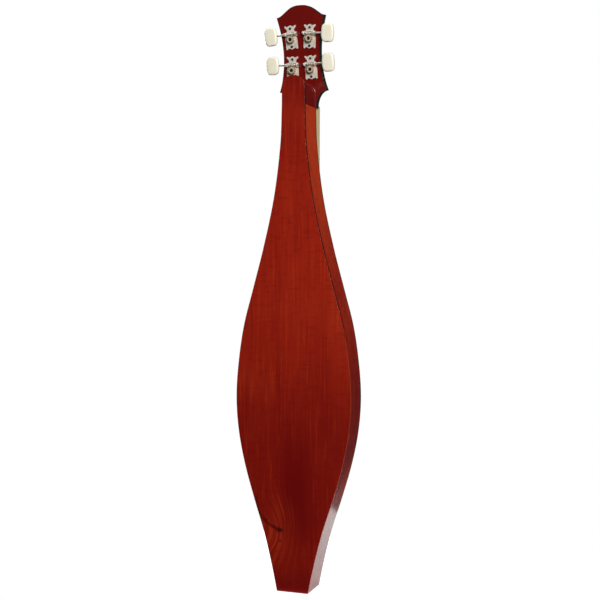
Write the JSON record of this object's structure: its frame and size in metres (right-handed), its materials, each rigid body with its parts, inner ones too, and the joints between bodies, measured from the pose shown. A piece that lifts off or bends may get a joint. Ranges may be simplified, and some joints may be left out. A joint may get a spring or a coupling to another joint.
{
  "type": "mountain dulcimer",
  "caption": "Slim teardrop fretted lap zither with stained back and sides, pale raised fretboard, tilted headstock and open-gear tuners.",
  "frame": {"origin": "centre of the flat tail end of the sound box, halfway between the back and the soundboard", "axes": "+Z along the instrument from the tail to the headstock, +Y out of the flat back, -Y out of the string side, +X to the left when looking at the back with the headstock up"},
  "size_m": [0.183, 0.0786, 0.8907],
  "materials": {
    "stained_wood": "red-brown stain under satin lacquer, fine straight grain",
    "tail_wood": "red-brown stain under satin lacquer",
    "spruce": "clear satin lacquer over straight-grained spruce",
    "plain_wood": "raw sanded wood",
    "black_edge": "black, polished",
    "maple": "pale wood, clear satin lacquer",
    "fret_wire": "nickel silver, polished",
    "pearl": "pearl-like dot",
    "bone": "polished bone",
    "rosewood": "dark oiled hardwood",
    "pin_steel": "plain steel",
    "string_steel": "plain and wound steel wire",
    "nickel_plate": "nickel plate, slightly dulled",
    "button_plastic": "cream moulded plastic",
    "gear_brass": "machined brass, lightly tarnished",
    "screw_steel": "blackened steel"
  },
  "bodies": {
    "root": {"back_plate": "stained_wood", "soundboard": "spruce", "top_binding": "black_edge", "side_left": "stained_wood", "side_right": "stained_wood", "tail_panel": "tail_wood", "tail_block": "plain_wood", "neck_block": "stained_wood", "back_lining_left": "plain_wood", "back_lining_right": "plain_wood", "top_lining_left": "plain_wood", "top_lining_right": "plain_wood", "back_braces": "plain_wood", "top_braces": "plain_wood", "headstock": "stained_wood", "headstock_binding": "black_edge", "headstock_overlay": "black_edge", "fretboard": "maple", "frets": "fret_wire", "position_markers": "pearl", "nut": "bone", "bridge": "rosewood", "string_pins": "pin_steel", "string_1": "string_steel", "string_2": "string_steel", "string_3": "string_steel", "string_4": "string_steel", "tuner_plate_1": "nickel_plate", "tuner_plate_2": "nickel_plate", "tuner_plate_3": "nickel_plate", "tuner_plate_4": "nickel_plate", "plate_screws": "screw_steel", "post_bushing_1": "nickel_plate", "post_bushing_2": "nickel_plate", "post_bushing_3": "nickel_plate", "post_bushing_4": "nickel_plate"},
    "button_left_high": {"worm_shaft_1": "nickel_plate", "tuner_button_1": "button_plastic"},
    "post_left_high": {"tuner_gear_1": "gear_brass", "string_post_1": "nickel_plate", "gear_screw_1": "screw_steel", "string_winding_1": "string_steel"},
    "button_right_high": {"worm_shaft_2": "nickel_plate", "tuner_button_2": "button_plastic"},
    "post_right_high": {"tuner_gear_2": "gear_brass", "string_post_2": "nickel_plate", "gear_screw_2": "screw_steel", "string_winding_2": "string_steel"},
    "button_left_low": {"worm_shaft_3": "nickel_plate", "tuner_button_3": "button_plastic"},
    "post_left_low": {"tuner_gear_3": "gear_brass", "string_post_3": "nickel_plate", "gear_screw_3": "screw_steel", "string_winding_3": "string_steel"},
    "button_right_low": {"worm_shaft_4": "nickel_plate", "tuner_button_4": "button_plastic"},
    "post_right_low": {"tuner_gear_4": "gear_brass", "string_post_4": "nickel_plate", "gear_screw_4": "screw_steel", "string_winding_4": "string_steel"}
  },
  "joints": [
    {"name": "button_turn_left_high", "type": "hinge", "parent": "root", "child": "button_left_high", "pos_m": [0.01606, -0.0027, 0.84666], "axis": [0.9976, -0.0089, -0.0692], "continuous": true},
    {"name": "post_turn_left_high", "type": "hinge", "parent": "root", "child": "post_left_high", "pos_m": [0.0155, -0.00371, 0.83877], "axis": [0, 0.9919, -0.1271], "continuous": true},
    {"name": "button_turn_right_high", "type": "hinge", "parent": "root", "child": "button_right_high", "pos_m": [-0.01444, -0.0027, 0.84667], "axis": [0.9984, 0.0071, 0.0554], "continuous": true},
    {"name": "post_turn_right_high", "type": "hinge", "parent": "root", "child": "post_right_high", "pos_m": [-0.014, -0.00371, 0.83877], "axis": [0, 0.9919, -0.1271], "continuous": true},
    {"name": "button_turn_left_low", "type": "hinge", "parent": "root", "child": "button_left_low", "pos_m": [0.01513, -0.00857, 0.80085], "axis": [0.9998, 0.0027, 0.0208], "continuous": true},
    {"name": "post_turn_left_low", "type": "hinge", "parent": "root", "child": "post_left_low", "pos_m": [0.0153, -0.00958, 0.79295], "axis": [0, 0.9919, -0.1271], "continuous": true},
    {"name": "button_turn_right_low", "type": "hinge", "parent": "root", "child": "button_right_low", "pos_m": [-0.01425, -0.00857, 0.80085], "axis": [0.9995, -0.004, -0.0312], "continuous": true},
    {"name": "post_turn_right_low", "type": "hinge", "parent": "root", "child": "post_right_low", "pos_m": [-0.0145, -0.00958, 0.79295], "axis": [0, 0.9919, -0.1271], "continuous": true}
  ],
  "couplings": [
    {"joint": "post_turn_left_high", "follows": "button_turn_left_high", "ratio": -0.083333},
    {"joint": "post_turn_right_high", "follows": "button_turn_right_high", "ratio": -0.083333},
    {"joint": "post_turn_left_low", "follows": "button_turn_left_low", "ratio": -0.083333},
    {"joint": "post_turn_right_low", "follows": "button_turn_right_low", "ratio": -0.083333}
  ]
}
